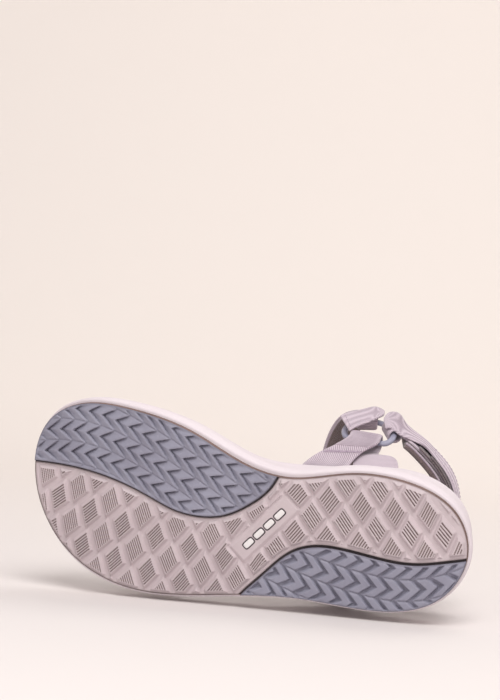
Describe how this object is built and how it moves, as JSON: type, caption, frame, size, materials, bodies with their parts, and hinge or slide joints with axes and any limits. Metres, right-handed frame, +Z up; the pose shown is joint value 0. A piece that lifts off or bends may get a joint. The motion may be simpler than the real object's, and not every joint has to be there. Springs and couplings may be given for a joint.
{
  "type": "strappy sport sandal",
  "caption": "Strappy sport sandal for a right foot, with a lugged rubber sole, a foam midsole and hook-and-loop webbing straps that run through plastic rings.",
  "frame": {"origin": "bottom centre of the sandal's box, on the plane of the lug tops", "axes": "+Z up as worn, -Y towards the toe and +Y towards the heel, +X towards the medial (inner) side of the right foot"},
  "size_m": [0.1144, 0.2548, 0.1193],
  "materials": {
    "outsole_rubber": "satin mauve rubber with grooved diamond lugs",
    "insert_rubber": "satin blue-grey rubber with chevron lugs",
    "badge_print": "matt white",
    "midsole_foam": "matt cream-pink moulded foam",
    "footbed_foam": "matt foam",
    "topcover_textile": "soft textured cover",
    "webbing": "ribbed lilac-grey woven webbing",
    "stitching": "dense satin stitch",
    "lining": "soft brown lining with a light bound edge",
    "loop_tape": "fuzzy dark grey loop tape",
    "hook_tape": "dark grey hook tape",
    "ring_plastic": "smooth blue-grey plastic"
  },
  "bodies": {
    "sole": {"outsole_base": "outsole_rubber", "outsole_forefoot_insert": "insert_rubber", "outsole_heel_insert": "insert_rubber", "outsole_badge": "badge_print", "midsole": "midsole_foam", "footbed": "footbed_foam", "footbed_topcover": "topcover_textile", "medial_side_strap": "webbing", "lateral_side_strap": "webbing", "side_strap_bartacks": "stitching", "forefoot_strap_base": "webbing", "forefoot_strap_anchor": "webbing", "forefoot_strap_lining": "lining", "forefoot_loop_patch": "loop_tape"},
    "medial_ring": {"medial_ring": "ring_plastic"},
    "lateral_ring": {"lateral_ring": "ring_plastic"},
    "heel_strap": {"heel_strap": "webbing", "heel_strap_pad": "lining", "heel_loop_patch": "loop_tape"},
    "heel_tab": {"heel_strap_tab": "webbing", "heel_hook_patch": "hook_tape"},
    "instep_strap": {"instep_strap": "webbing", "instep_strap_lining": "lining", "instep_loop_patch": "loop_tape"},
    "instep_tab": {"instep_strap_tab": "webbing", "instep_hook_patch": "hook_tape"},
    "forefoot_flap": {"forefoot_strap_flap": "webbing", "forefoot_hook_patch": "hook_tape"}
  },
  "joints": [
    {"name": "heel_swing", "type": "hinge", "parent": "sole", "child": "heel_strap", "pos_m": [0.00091, 0.05347, 0.0625], "axis": [1, 0, 0], "range_deg": [-11, 5]},
    {"name": "instep_swing", "type": "hinge", "parent": "sole", "child": "instep_strap", "pos_m": [0.00091, 0.05347, 0.0625], "axis": [1, 0, 0], "range_deg": [-5, 11]},
    {"name": "heel_tab_open", "type": "hinge", "parent": "heel_strap", "child": "heel_tab", "pos_m": [0.05518, 0.06661, 0.06811], "axis": [-0.2676, 0.5, -0.8236], "range_deg": [0, 85]},
    {"name": "instep_tab_open", "type": "hinge", "parent": "instep_strap", "child": "instep_tab", "pos_m": [-0.05547, 0.04878, 0.07462], "axis": [0.0955, -0.9511, -0.2939], "range_deg": [0, 85]},
    {"name": "forefoot_flap_open", "type": "hinge", "parent": "sole", "child": "forefoot_flap", "pos_m": [-0.04581, -0.0464, 0.03609], "axis": [-0.0754, -0.9881, -0.1338], "range_deg": [0, 75]},
    {"name": "medial_ring_tip", "type": "hinge", "parent": "sole", "child": "medial_ring", "pos_m": [0.04528, 0.05347, 0.05442], "axis": [0, 1, 0], "range_deg": [-1, 1]},
    {"name": "lateral_ring_tip", "type": "hinge", "parent": "sole", "child": "lateral_ring", "pos_m": [-0.04346, 0.05347, 0.05442], "axis": [0, 1, 0], "range_deg": [-1, 1]}
  ]
}
